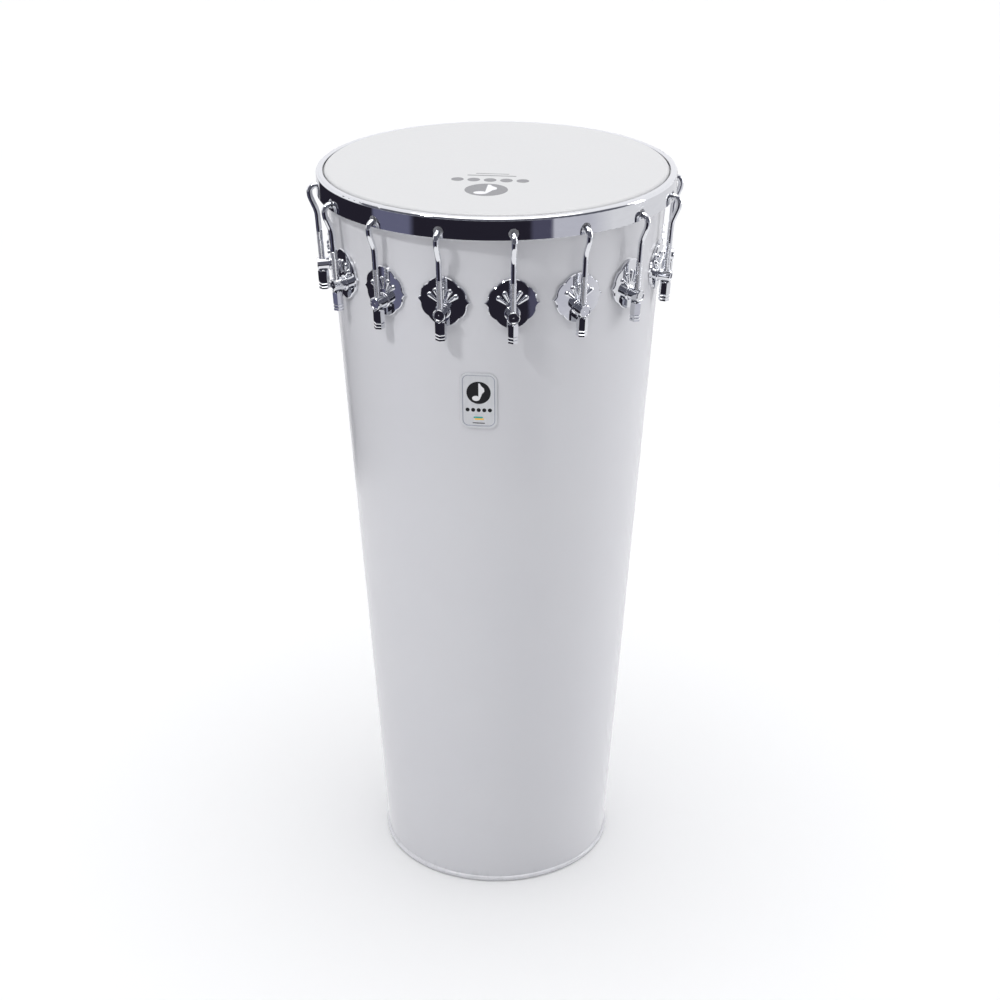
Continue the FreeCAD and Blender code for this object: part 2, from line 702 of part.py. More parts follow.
def make_hook():
    """A rod swept along one path: down inside the hoop, over its hole, and in to the shell's side."""
    hook = doc.addObject("PartDesign::Body", "hook")
    path = sketch_on(hook, "XZ_Plane", "hook_path")

    # the path's places, worked out from the same dimensions as its constraints
    taper, lean = math.radians(value("taper")), math.radians(value("hook_lean"))
    bend, knee, ankle = value("bend_radius"), value("hook_knee"), value("hook_ankle")
    middle = Vector(value("bend_centre"), value("bend_level"), 0)
    tip = middle + Vector(-bend, 0, 0)
    outermost = middle + Vector(bend, 0, 0)
    knee_centre = outermost - Vector(knee, 0, 0)
    knee_end = knee_centre + Vector(math.cos(lean), -math.sin(lean), 0) * knee
    foot_text = (
        f"{side_at('lug_level')} + rod_offset * cos(taper) + rod_bottom * sin(taper)",
        "lug_level - rod_offset * sin(taper) + rod_bottom * cos(taper)",
    )
    foot = Vector(*[value(text) for text in foot_text], 0)
    down_rod = Vector(-math.sin(taper), -math.cos(taper), 0)
    down_lean = Vector(-math.sin(lean), -math.cos(lean), 0)
    apart = foot - knee_end
    span = down_lean.x * down_rod.y - down_lean.y * down_rod.x
    corner = knee_end + down_lean * ((apart.x * down_rod.y - apart.y * down_rod.x) / span)
    reach = ankle * math.tan((lean - taper) / 2)
    ankle_start, ankle_end = corner - down_lean * reach, corner + down_rod * reach

    line = path.addGeometry(Part.LineSegment(tip - Vector(0, value("tip_length"), 0), tip))
    over = path.addGeometry(Part.ArcOfCircle(Part.Circle(middle, Vector(0, 0, 1), bend), 0, math.pi))
    turn = path.addGeometry(Part.ArcOfCircle(Part.Circle(knee_centre, Vector(0, 0, 1), knee), -lean, 0))
    lean_line = path.addGeometry(Part.LineSegment(knee_end, ankle_start))
    back = path.addGeometry(arc_between(ankle_start, ankle_end, ankle))
    rod = path.addGeometry(Part.LineSegment(ankle_end, foot))
    for one, end, other, start in (
        (line, 2, over, 2), (over, 1, turn, 2), (turn, 1, lean_line, 1), (lean_line, 2, back, 1), (back, 2, rod, 1)
    ):
        path.addConstraint(Sketcher.Constraint("Tangent", one, end, other, start))
    pin_point(path, line, 1, "bend_centre - bend_radius", "bend_level - tip_length")
    path.addConstraint(Sketcher.Constraint("Vertical", line))
    pin(path, "DistanceY", "bend_level", -1, 1, line, 2)
    pin(path, "Radius", "bend_radius", over)
    pin(path, "DistanceY", "bend_level", -1, 1, over, 1)
    pin(path, "Radius", "hook_knee", turn)
    pin(path, "Radius", "hook_ankle", back)
    pin(path, "DistanceX", "bend_centre + bend_radius - hook_knee * (1 - cos(hook_lean))", -1, 1, turn, 1)
    pin(path, "Angle", "0 - 90 - taper", rod)
    pin_point(path, rod, 2, *foot_text)
    doc.recompute()

    section = sketch_on(hook, "XY_Plane", "hook_section")
    bind(section, **{"AttachmentOffset.Base.z": "bend_level - tip_length"})
    circle = section.addGeometry(Part.Circle(Vector(tip.x, 0, 0), Vector(0, 0, 1), value("rod_radius")))
    pin(section, "Radius", "rod_radius", circle)
    pin_point(section, circle, 3, "bend_centre - bend_radius", "0")
    pipe = hook.newObject("PartDesign::AdditivePipe", "hook_rod")
    pipe.Profile = section
    pipe.Spine = path
    doc.recompute()
    length = sum(edge.Length for edge in path.Shape.Edges)
    whole = math.pi * value("rod_radius") ** 2 * length
    assert abs(pipe.Shape.Volume - whole) < 0.01 * whole, "the hook isn't its section times its length"
    print(f"hook: {length:.1f} mm of rod")
    return hook


# ---------------------------------------------------------------- fasteners inside the shell


def make_screw():
    """A pan head screw that points out of the shell, with a cross recess in its head."""
    back = f"({HEAD_SEAT} - screw_head_height)"
    dome = "(screw_head_height / 2)"
    solid = revolved(
        "screw_solid",
        [
            (back, "0"),
            ("screw_depth", "0"),
            ("screw_depth", "screw_radius * 0.75"),
            ("screw_depth - screw_radius * 0.25", "screw_radius"),
            (HEAD_SEAT, "screw_radius"),
            (HEAD_SEAT, "screw_head"),
            (f"{back} + {dome}", "screw_head"),
            (back, f"screw_head - {dome}", dome),
        ],
        "H_Axis",
    )
    slots = []
    arms = (("slot_up", "screw_head", "screw_slot"), ("slot_across", "screw_slot", "screw_head"))
    for name, tall, wide in arms:
        slot = primitive("Box", name, Length="screw_head_height * 0.6", Width=wide, Height=tall)
        slots.append(place(slot, (back, f"0 - ({wide}) / 2", f"0 - ({tall}) / 2")))
    return combined("Cut", "screw", solid, combined("MultiFuse", "cross_recess", *slots))


def make_flat_washer():
    """The washer under a lug screw's head."""
    inner = "(screw_radius + 2 * screw_gap)"
    return revolved(
        "flat_washer_piece",
        [(HEAD_SEAT, inner), (SEAT, inner), (SEAT, "flat_washer"), (HEAD_SEAT, "flat_washer")],
        "H_Axis",
    )


# ---------------------------------------------------------------- badge


def rounded_rectangle(inset):
    """The badge's outline, drawn in from its edge by an inset."""
    half, tall = f"(badge_width / 2 - {inset})", f"(badge_length / 2 - {inset})"
    corner = f"badge_corner - {inset}"
    near, low = f"({half} - ({corner}))", f"({tall} - ({corner}))"
    return [
        (half, low),
        (near, tall, corner),
        (f"0 - {near}", tall),
        (f"0 - {half}", low, corner),
        (f"0 - {half}", f"0 - {low}"),
        (f"0 - {near}", f"0 - {tall}", corner),
        (near, f"0 - {tall}"),
        (half, f"0 - {low}", corner),
    ]


def make_badge():
    """A plate bent to the shell, with a rim standing over its face."""
    blank = padded("badge_blank", rounded_rectangle("0"), "5 * badge_rim_width", "0 - 2 * badge_rim_width")
    window = rounded_rectangle("badge_rim_width")
    inset = padded("badge_window", window, "5 * badge_rim_width", "0 - badge_plate")
    for piece in (blank, inset):
        on_side(piece, "badge_level")
    band = combined(
        "Cut",
        "badge_band",
        side_cone("badge_front", "badge_plate + badge_rim"),
        side_cone("badge_back", "mount_gap"),
    )
    hollow = combined("Cut", "badge_hollow", inset, side_cone("badge_face", "badge_plate"))
    badge = combined("Cut", "badge", combined("Common", "badge_solid", blank, band), hollow)
    return place(badge, angle="0 - 90")


# ---------------------------------------------------------------- the drum


def make_drum():
    """Every node, with the number of separate solids in it."""
    nodes = [(make_shell(), 1)]
    nodes += [(wire, 1) for wire in make_edge_wires()]
    nodes += [(make(), 1) for make in (make_head_film, make_flesh_hoop, make_head_resin, make_counter_hoop)]
    for name, make in (("lug", make_lug), ("tuning_nut", make_nut), ("hook", make_hook)):
        nodes += [(copy, 1) for copy in each_station(name, make())]
    nodes.append((at_stations("nut_washers", make_nut_washer(), [lug_spot("rod_offset", "0")]), STATIONS))
    spots = [lug_spot("0", up) for up in SCREW_ROWS]
    nodes.append((at_stations("lug_screws", make_screw(), spots), 2 * STATIONS))
    nodes.append((at_stations("lug_washers", make_flat_washer(), spots), 2 * STATIONS))
    nodes.append((make_badge(), 1))
    return nodes


def write(nodes):
    """Checks the whole document and every node's shape, then writes the nodes."""
    doc.recompute()
    for thing in doc.Objects:
        bad = {"Invalid", "Error"} & set(thing.State)
        if bad:
            raise RuntimeError(f"{thing.Name} is {bad}")
        if thing.isDerivedFrom("Sketcher::SketchObject") and not thing.FullyConstrained:
            raise RuntimeError(f"{thing.Name} isn't fully constrained")
    os.makedirs("parts", exist_ok=True)
    for node, count in nodes:
        shape = Part.getShape(node)
        if shape.isNull() or not shape.isValid() or len(shape.Solids) != count:
            raise RuntimeError(f"{node.Label} has a bad shape")
        shape.exportStep(f"parts/{node.Label}.step")
        box = shape.BoundBox
        print(f"{node.Label}: {len(shape.Solids)} solid, {shape.Volume / 1000:.2f} cm3, "
              f"z {box.ZMin:.2f} to {box.ZMax:.2f}")


write(make_drum())
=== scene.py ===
"""The looks of a timbal: gloss white shell, white head, chromed hoop, hooks, nuts and lugs.

Metres, in the row frame: origin at the centre of the base, +Z up, the badge faces -Y.
Sizes are named in millimetres and turned into metres by MM where a mesh is made.
"""

import json
import math

import bmesh
import bpy
from mathutils import Matrix, Vector

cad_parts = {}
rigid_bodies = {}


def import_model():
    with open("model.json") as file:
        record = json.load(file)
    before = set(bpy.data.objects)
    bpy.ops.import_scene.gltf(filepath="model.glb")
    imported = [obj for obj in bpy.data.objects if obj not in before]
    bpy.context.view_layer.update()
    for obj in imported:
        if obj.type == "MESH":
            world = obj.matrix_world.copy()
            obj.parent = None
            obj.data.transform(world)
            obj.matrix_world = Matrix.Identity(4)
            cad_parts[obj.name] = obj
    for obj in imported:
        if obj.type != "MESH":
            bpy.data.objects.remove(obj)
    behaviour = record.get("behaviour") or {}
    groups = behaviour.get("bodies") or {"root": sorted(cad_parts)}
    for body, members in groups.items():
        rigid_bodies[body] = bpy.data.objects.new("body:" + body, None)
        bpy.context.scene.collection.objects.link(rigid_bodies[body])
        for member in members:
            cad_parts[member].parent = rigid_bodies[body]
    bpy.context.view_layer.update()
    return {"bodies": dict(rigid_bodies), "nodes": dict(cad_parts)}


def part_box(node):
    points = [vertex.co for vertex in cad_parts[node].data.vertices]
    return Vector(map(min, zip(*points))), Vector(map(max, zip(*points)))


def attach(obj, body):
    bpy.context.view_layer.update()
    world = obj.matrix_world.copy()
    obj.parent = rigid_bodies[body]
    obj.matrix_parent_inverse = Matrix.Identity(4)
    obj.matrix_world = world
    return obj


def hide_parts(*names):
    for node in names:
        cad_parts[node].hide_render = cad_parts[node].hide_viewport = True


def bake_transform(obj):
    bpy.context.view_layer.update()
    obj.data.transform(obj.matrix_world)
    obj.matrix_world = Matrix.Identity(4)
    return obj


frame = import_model()

MM = 0.001

# ---------------------------------------------------------------- the drum's sizes, millimetres and degrees

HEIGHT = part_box("head_film")[1].z / MM
TAPER = math.radians(3.57)
BASE_RADIUS = 127.44
STATIONS = [name[-2:] for name in sorted(frame["bodies"]) if name.startswith("hook_")]
FIRST_STATION = 11.25

FILM = 0.5
FILM_GAP = 0.05
BEAD_TOP = 8.0
CURL_RADIUS = 3.0
FILM_STEP = 793.0
FILM_TURN = 1.0
FILM_EDGE_RADIUS = 181.0
FILM_EDGE_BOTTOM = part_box("head_film")[0].z / MM

LUG_LEVEL = 709.0
ROD_OFFSET = 11.3
THREAD_TOP = 26.0
THREAD_BOTTOM = -8.0
THREAD_PITCH = 1.0
THREAD_ROOT = 2.9
THREAD_CREST = 3.19
THREAD_STEPS = 24
# Share of the crest's height, and distance along the rod in pitches.
THREAD_PROFILE = [(0, -0.42), (1, -0.1), (1, 0.1), (0, 0.42)]

BADGE_LEVEL = sum(corner.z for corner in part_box("badge")) / 2 / MM
BADGE_FACE = 0.7
BADGE_WIDTH = 37
BADGE_LENGTH = 60
BADGE_CORNER = 8.5
BADGE_RIM = 2.0
BADGE_LINE = 0.7
BADGE_LINE_GAP = 0.1
PRINT_THICKNESS = 0.05
PRINT_STRIP = 2.0
PRINT_WELD = 0.01

SKIN_SEGMENTS = 256
FLAT_RINGS = 8
COLLAR_RINGS = 10
CURL_STEPS = 12
TURN_STEPS = 6


def side_at(level):
    """Radius of the shell's outside at a level."""
    return BASE_RADIUS + math.tan(TAPER) * level


# ---------------------------------------------------------------- meshes


def arc(centre, radius, first, last, steps):
    """Points on an arc in the (radius, height) plane, from the first angle to the last, in degrees."""
    angles = [math.radians(first + (last - first) * step / steps) for step in range(steps + 1)]
    return [(centre[0] + radius * math.cos(angle), centre[1] + radius * math.sin(angle)) for angle in angles]


def new_piece(name, vertices, faces, smooth_below=35):
    """An object from points in millimetres, smooth wherever its faces meet at less than an angle."""
    mesh = bpy.data.meshes.new(name)
    mesh.from_pydata([Vector(point) * MM for point in vertices], [], faces)
    mesh.validate()
    mesh.shade_smooth()
    mesh.set_sharp_from_angle(angle=math.radians(smooth_below))
    piece = bpy.data.objects.new(name, mesh)
    bpy.context.scene.collection.objects.link(piece)
    return piece


def turned(name, outline, segments):
    """A piece turned about Z from (radius, height) points that start and end on the axis."""
    vertices = [(0, 0, outline[0][1]), (0, 0, outline[-1][1])]
    rings = []
    for radius, height in outline[1:-1]:
        rings.append(range(len(vertices), len(vertices) + segments))
        for step in range(segments):
            angle = 2 * math.pi * step / segments
            vertices.append((radius * math.cos(angle), radius * math.sin(angle), height))
    faces = []
    for step in range(segments):
        after = (step + 1) % segments
        faces.append((0, rings[0][after], rings[0][step]))
        faces.append((1, rings[-1][step], rings[-1][after]))
        for ring, outer in zip(rings, rings[1:]):
            faces.append((ring[step], ring[after], outer[after], outer[step]))
    return new_piece(name, vertices, faces)


def make_head_skin():
    """The head's film, with rings through its collar."""
    curl_level = HEIGHT - FILM - FILM_GAP - CURL_RADIUS
    centre = (side_at(curl_level) - CURL_RADIUS / math.cos(TAPER), curl_level)
    inner = CURL_RADIUS + FILM_GAP
    inside = centre[0] + inner
    turn_level = FILM_STEP + FILM_TURN + FILM
    turn = (inside + FILM_TURN + FILM, turn_level)
    edge = (FILM_EDGE_RADIUS - FILM_TURN, FILM_STEP - FILM_TURN)
    flat = [centre[0] * share / FLAT_RINGS for share in range(1, FLAT_RINGS)]
    depth = turn_level - centre[1]
    collar = [centre[1] + depth * share / COLLAR_RINGS for share in range(1, COLLAR_RINGS)]
    outline = [(0, HEIGHT - FILM)]
    outline += [(radius, HEIGHT - FILM) for radius in flat]
    outline += arc(centre, inner, 90, 0, CURL_STEPS)
    outline += [(inside, level) for level in collar]
    outline += arc(turn, FILM_TURN + FILM, 180, 270, TURN_STEPS)
    outline += arc(edge, FILM_TURN, 90, 0, TURN_STEPS)
    outline += [(FILM_EDGE_RADIUS, FILM_EDGE_BOTTOM), (FILM_EDGE_RADIUS + FILM, FILM_EDGE_BOTTOM)]
    outline += arc(edge, FILM_TURN + FILM, 0, 90, TURN_STEPS)
    outline += arc(turn, FILM_TURN, 270, 180, TURN_STEPS)
    outline += [(inside + FILM, level) for level in reversed(collar)]
    outline += arc(centre, inner + FILM, 0, 90, CURL_STEPS)
    outline += [(radius, HEIGHT) for radius in reversed(flat)]
    outline.append((0, HEIGHT))
    skin = turned("head_skin", outline, SKIN_SEGMENTS)
    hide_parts("head_film")
    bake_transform(skin)
    return skin


def station_matrix(index):
    """Takes a piece from the frame of a lug, x out of the shell and z up its side, to where it is."""
    level = LUG_LEVEL * MM
    turn = math.radians(FIRST_STATION + 360 / len(STATIONS) * index - 90)
    out = Matrix.Translation((side_at(LUG_LEVEL) * MM, 0, level))
    return Matrix.Rotation(turn, 4, "Z") @ out @ Matrix.Rotation(TAPER, 4, "Y")


def make_threads():
    """The rolled thread that shows on each hook's rod above its post, a ridge wound up the rod."""
    turns = (THREAD_TOP - THREAD_BOTTOM) / THREAD_PITCH
    steps = round(turns * THREAD_STEPS)
    vertices = []
    for step in range(steps + 1):
        fade = min(1.0, step / THREAD_STEPS, (steps - step) / THREAD_STEPS)
        angle = 2 * math.pi * step / THREAD_STEPS
        height = THREAD_BOTTOM + THREAD_PITCH * step / THREAD_STEPS
        for share, rise in THREAD_PROFILE:
            radius = THREAD_ROOT + (THREAD_CREST - THREAD_ROOT) * share * fade
            out, along = ROD_OFFSET + radius * math.cos(angle), radius * math.sin(angle)
            vertices.append((out, along, height + rise * THREAD_PITCH))
    size = len(THREAD_PROFILE)
    faces = [tuple(range(size)), tuple(reversed(range(size * steps, size * (steps + 1))))]
    for step in range(steps):
        low, high = size * step, size * (step + 1)
        for corner in range(size):
            after = (corner + 1) % size
            faces.append((low + corner, high + corner, high + after, low + after))
    mesh = None
    threads = []
    for index, station in enumerate(STATIONS):
        if mesh is None:
            thread = new_piece(f"hook_{station}_thread", vertices, faces)
            mesh = thread.data
        else:
            thread = bpy.data.objects.new(f"hook_{station}_thread", mesh)
            bpy.context.scene.collection.objects.link(thread)
        thread.matrix_world = station_matrix(index)
        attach(thread, f"hook_{station}")
        threads.append(thread)
    return threads


# ---------------------------------------------------------------- prints on the badge and the head, with painted shade along the badge's rim


def disc(radius, x=0.0, y=0.0, steps=48):
    """A round outline."""
    return [
        (x + radius * math.cos(2 * math.pi * step / steps), y + radius * math.sin(2 * math.pi * step / steps))
        for step in range(steps)
    ]


def bar(width, height, x=0.0, y=0.0):
    """A bar with round ends."""
    cap = height / 2
    reach = width / 2 - cap
    right = arc((x + reach, y), cap, -90, 90, 8)
    left = arc((x - reach, y), cap, 90, 270, 8)
    return right + left


def eighth_note(tall, x=0.0, y=0.0):
    """One outline of an eighth note, standing on its head's middle."""
    wide, low = tall * 0.24, tall * 0.17
    stem = tall * 0.09
    left = math.degrees(math.acos((wide - stem) / wide))
    points = [
        (wide * math.cos(math.radians(angle)), low * math.sin(math.radians(angle)))
        for angle in range(round(left), 361, 12)
    ]
    points.append((wide, tall * 0.74))
    flag = [(0.16, 0.62), (0.20, 0.44), (0.15, 0.34), (0.27, 0.46), (0.26, 0.66), (0.08, 0.84)]
    points += [(wide + tall * across, tall * up) for across, up in flag]
    points += [(wide, tall), (wide - stem, tall)]
    return [(x + across, y + up) for across, up in points]


def rounded_rectangle(width, height, corner):
    """An outline with round corners."""
    right, top = width / 2 - corner, height / 2 - corner
    corners = [(right, -top, -90), (right, top, 0), (-right, top, 90), (-right, -top, 180)]
    return [point for x, y, first in corners for point in arc((x, y), corner, first, first + 90, 8)]


def frame_line(width, height, corner, line):
    """The quads of a thin line round a rectangle with round corners."""
    outer = rounded_rectangle(width, height, corner)
    inner = rounded_rectangle(width - 2 * line, height - 2 * line, corner - line)
    return [[outer[step - 1], outer[step], inner[step], inner[step - 1]] for step in range(len(outer))]


def print_sheet(name, outlines, cuts, spot):
    """Flat outlines cut into strips and carried to their place by a function of (x, y)."""
    sheet = bmesh.new()
    for outline in outlines:
        sheet.faces.new([sheet.verts.new((x, y, 0)) for x, y in outline])
    bmesh.ops.triangulate(sheet, faces=sheet.faces[:])
    for cut in cuts:
        everything = sheet.verts[:] + sheet.edges[:] + sheet.faces[:]
        bmesh.ops.bisect_plane(sheet, geom=everything, plane_co=(cut, 0, 0), plane_no=(1, 0, 0))
    bmesh.ops.remove_doubles(sheet, verts=sheet.verts[:], dist=PRINT_WELD)
    bmesh.ops.dissolve_degenerate(sheet, edges=sheet.edges[:], dist=PRINT_WELD)
    for vertex in sheet.verts:
        vertex.co = Vector(spot(vertex.co.x, vertex.co.y)) * MM
    mesh = bpy.data.meshes.new(name)
    sheet.to_mesh(mesh)
    sheet.free()
    piece = bpy.data.objects.new(name, mesh)
    bpy.context.scene.collection.objects.link(piece)
    solid = piece.modifiers.new("thickness", "SOLIDIFY")
    solid.thickness = PRINT_THICKNESS * MM
    solid.offset = 1.0
    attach(piece, "shell")
    return piece


def badge_spot(lift):
    """The place on the badge's face, or a lift above it, of a point right and up from its middle."""

    def spot(x, y):
        level = BADGE_LEVEL + y * math.cos(TAPER)
        radius = side_at(level) + (BADGE_FACE + lift) / math.cos(TAPER)
        angle = x / radius
        return radius * math.sin(angle), -radius * math.cos(angle), level

    return spot


def head_spot(lift):
    """The place on the head, or a lift above it, of a point right and up from its centre."""

    def spot(x, y):
        return x, y, HEIGHT + lift

    return spot


def make_prints():
    """A note in a disc over a row of dots on the badge, and on the head, read from the badge's side."""
    strips = [step * PRINT_STRIP for step in range(-9, 10)]
    window = (BADGE_WIDTH - 2 * BADGE_RIM, BADGE_LENGTH - 2 * BADGE_RIM, BADGE_CORNER - BADGE_RIM)
    line_outside = [size - BADGE_LINE_GAP for size in window]
    dots = [disc(2.1, step * 5.6, -10.2, 24) for step in range(-2, 3)]
    badge = {
        "badge_disc": ([disc(12.2, 0, 8.8)], 0.0, ink),
        "badge_note": ([eighth_note(16.5, -2.6, 2.6)], PRINT_THICKNESS, light_ink),
        "badge_dots": (dots, 0.0, ink),
        "badge_accent_teal": ([bar(9.5, 1.7, -0.6, -18.3)], 0.0, teal_ink),
        "badge_accent_amber": ([bar(9.5, 1.7, 0.6, -20.2)], 0.0, amber_ink),
        "badge_fine_bar": ([bar(12.5, 0.9, 0, -24.6)], 0.0, ink),
        # The thin bluish grey line round the inside of the rim is painted shade where the face meets the rim.
        "badge_frame": (frame_line(*line_outside, BADGE_LINE), 0.0, rim_shade_paint),
    }
    for name, (outlines, lift, paint) in badge.items():
        paint_with(print_sheet(name, outlines, strips, badge_spot(lift)), paint)
    head = {
        "head_print_disc": ([disc(21.5, 0, -95)], 0.0, head_ink),
        "head_print_note": ([eighth_note(29, -4.6, -106)], PRINT_THICKNESS, light_ink),
        "head_print_dots": ([disc(6.4, step * 16.5, -60, 32) for step in range(-2, 3)], 0.0, head_ink),
        "head_print_fine_bars": ([bar(50, 2.6, 0, -44), bar(34, 1.8, 0, -37)], 0.0, head_ink),
    }
    for name, (outlines, lift, paint) in head.items():
        piece = print_sheet(name, outlines, [], head_spot(lift))
        paint_with(piece, paint)


# ---------------------------------------------------------------- materials


class Nodes:
    """A node tree, and short ways to add to it."""

    def __init__(self, tree, coordinates):
        self.tree = tree
        self.place = self.add("TexCoord").outputs[coordinates]

    def add(self, kind, *sources, **settings):
        """A node; sources fill its first inputs in order, as links or numbers, and None leaves one alone."""
        node = self.tree.nodes.new("ShaderNode" + kind)
        for name, value in settings.items():
            setattr(node, name, value)
        for socket, source in zip(node.inputs, sources):
            self.feed(socket, source)
        return node

    def feed(self, socket, source):
        """A link or a number into a socket."""
        if isinstance(source, bpy.types.NodeSocket):
            self.tree.links.new(source, socket)
        elif source is not None:
            socket.default_value = source

    def noise(self, scale, detail=2.0, stretch=(1, 1, 1)):
        """Noise over the object's own coordinates, in features per metre."""
        mapping = self.add("Mapping", self.place)
        mapping.inputs["Scale"].default_value = stretch
        node = self.add("TexNoise")
        self.feed(node.inputs["Vector"], mapping.outputs["Vector"])
        node.inputs["Scale"].default_value = scale
        node.inputs["Detail"].default_value = detail
        return node.outputs["Fac"]

    def ranged(self, source, low, high, first=0.0, last=1.0, smooth=False):
        """A value carried from one range to another and held inside it."""
        kind = "SMOOTHSTEP" if smooth else "LINEAR"
        return self.add("MapRange", source, first, last, low, high, interpolation_type=kind).outputs["Result"]

    def maths(self, operation, *sources):
        """A sum, product or other function of numbers."""
        return self.add("Math", *sources, operation=operation).outputs["Value"]

    def mixed(self, factor, one, other):
        """One colour turning into another."""
        node = self.add("Mix", data_type="RGBA")
        for socket, source in zip((node.inputs[0], node.inputs[6], node.inputs[7]), (factor, one, other)):
            self.feed(socket, source)
        return node.outputs[2]


class Material(Nodes):
    """A material: a node tree round one Principled shader."""

    def __init__(self, name, **constants):
        self.made = bpy.data.materials.new(name)
        self.made.use_nodes = True
        super().__init__(self.made.node_tree, "Object")
        self.shader = self.tree.nodes["Principled BSDF"]
        for socket, value in constants.items():
            self.shader.inputs[socket.replace("_", " ")].default_value = value

    def colour(self, factor, one, other):
        """The surface's colour, between two."""
        self.feed(self.shader.inputs["Base Color"], self.mixed(factor, (*one, 1), (*other, 1)))
        return self

    def roughness(self, source, low, high):
        """The surface's roughness, between two."""
        self.feed(self.shader.inputs["Roughness"], self.ranged(source, low, high, 0.3, 0.7))
        return self

    def bump(self, source, height):
        """Relief, with its full height in millimetres."""
        node = self.add("Bump", 1.0, height * MM)
        self.feed(node.inputs["Height"], source)
        self.feed(self.shader.inputs["Normal"], node.outputs["Normal"])
        return self


def white_paint():
    """Gloss white lacquer outside, with faint orange peel and scuffs on the bottom bead; bare metal inside."""
    paint = Material("white_gloss_paint", IOR=1.5)
    along = paint.add("SeparateXYZ", paint.place)
    scuffs = paint.ranged(paint.noise(160, 4, (1, 1, 0.4)), 0.0, 1.0, 0.52, 0.64, smooth=True)
    near_floor = paint.ranged(along.outputs["Z"], 1.0, 0.0, 0.004, 0.016, smooth=True)
    worn = paint.maths("MULTIPLY", scuffs, near_floor)
    clean = paint.mixed(paint.noise(7, 3), (0.605, 0.605, 0.638, 1), (0.63, 0.63, 0.654, 1))
    outside = paint.mixed(paint.maths("MULTIPLY", worn, 0.2), clean, (0.42, 0.42, 0.43, 1))
    rings = paint.noise(60, 3, (1, 1, 14))
    bare = paint.mixed(rings, (0.42, 0.42, 0.43, 1), (0.58, 0.58, 0.59, 1))
    flat = paint.add("VectorMath", paint.place, (1, 1, 0), operation="MULTIPLY").outputs["Vector"]
    normal = paint.add("NewGeometry").outputs["Normal"]
    facing = paint.add("VectorMath", flat, normal, operation="DOT_PRODUCT").outputs["Value"]
    below_curl = paint.maths("LESS_THAN", along.outputs["Z"], (HEIGHT - 3 * CURL_RADIUS) * MM)
    above_bead = paint.maths("GREATER_THAN", along.outputs["Z"], BEAD_TOP * MM)
    inward = paint.maths("MULTIPLY", paint.maths("LESS_THAN", facing, 0.0), below_curl)
    inside = paint.maths("MULTIPLY", inward, above_bead)
    paint.feed(paint.shader.inputs["Base Color"], paint.mixed(inside, outside, bare))
    paint.feed(paint.shader.inputs["Metallic"], paint.ranged(inside, 0.0, 0.85))
    gloss = paint.ranged(paint.noise(30, 3), 0.16, 0.24, 0.3, 0.7)
    paint.feed(paint.shader.inputs["Roughness"], paint.ranged(inside, gloss, 0.42))
    return paint.bump(paint.noise(520, 1), 0.012).made


def film_material():
    """Satin white polyester with a faint coating."""
    film = Material("satin_white_film", IOR=1.57)
    film.colour(film.noise(9, 3), (0.705, 0.705, 0.712), (0.725, 0.725, 0.725))
    film.roughness(film.noise(240, 3), 0.36, 0.46)
    return film.bump(film.noise(1500, 2), 0.01).made


def chrome(name, tint, waviness, dullness=0.0):
    """Polished chrome: a mirror with faint haze, wiping marks and the waviness of what is under the plate."""
    plate = Material(name, Metallic=1.0)
    haze = plate.noise(90, 4, (1, 1, 3))
    darker = tuple(part * 0.93 for part in tint)
    plate.colour(haze, darker, tint)
    plate.roughness(haze, 0.025 + dullness, 0.07 + dullness)
    return plate.bump(plate.noise(110, 2), waviness).made


def plain_metal(name, dark, light, roughness, stretch):
    """Drawn, turned or plated metal with streaks along one direction."""
    metal = Material(name, Metallic=1.0)
    streaks = metal.noise(260, 4, stretch)
    metal.colour(streaks, dark, light)
    metal.roughness(streaks, roughness - 0.06, roughness + 0.08)
    return metal.bump(streaks, 0.01).made


def lacquered_plate():
    """Brushed aluminium under a satin lacquer, as light as paper."""
    plate = Material("badge_face", IOR=1.5, Metallic=0.25)
    strokes = plate.noise(420, 4, (1, 1, 0.06))
    plate.colour(strokes, (0.62, 0.63, 0.66), (0.74, 0.75, 0.77))
    plate.roughness(strokes, 0.34, 0.46)
    return plate.bump(strokes, 0.004).made


def resin_material():
    """Cast resin, slightly amber and uneven."""
    resin = Material("cast_resin", IOR=1.5, Transmission_Weight=0.15)
    resin.colour(resin.noise(120, 3), (0.66, 0.58, 0.42), (0.80, 0.74, 0.60))
    resin.roughness(resin.noise(60, 2), 0.3, 0.45)
    return resin.bump(resin.noise(300, 2), 0.03).made


def printed(name, colour, roughness):
    """Screen-printed ink with a little unevenness, also used for the painted shade along the badge's rim."""
    paint = Material(name, IOR=1.45)
    thin = tuple(min(1.0, part * 1.18 + 0.004) for part in colour)
    paint.colour(paint.noise(700, 3), colour, thin)
    paint.roughness(paint.noise(300, 2), roughness - 0.05, roughness + 0.05)
    return paint.bump(paint.noise(2500, 1), 0.004).made


def paint_with(piece, material):
    """Gives a piece one material."""
    piece.data.materials.clear()
    piece.data.materials.append(material)


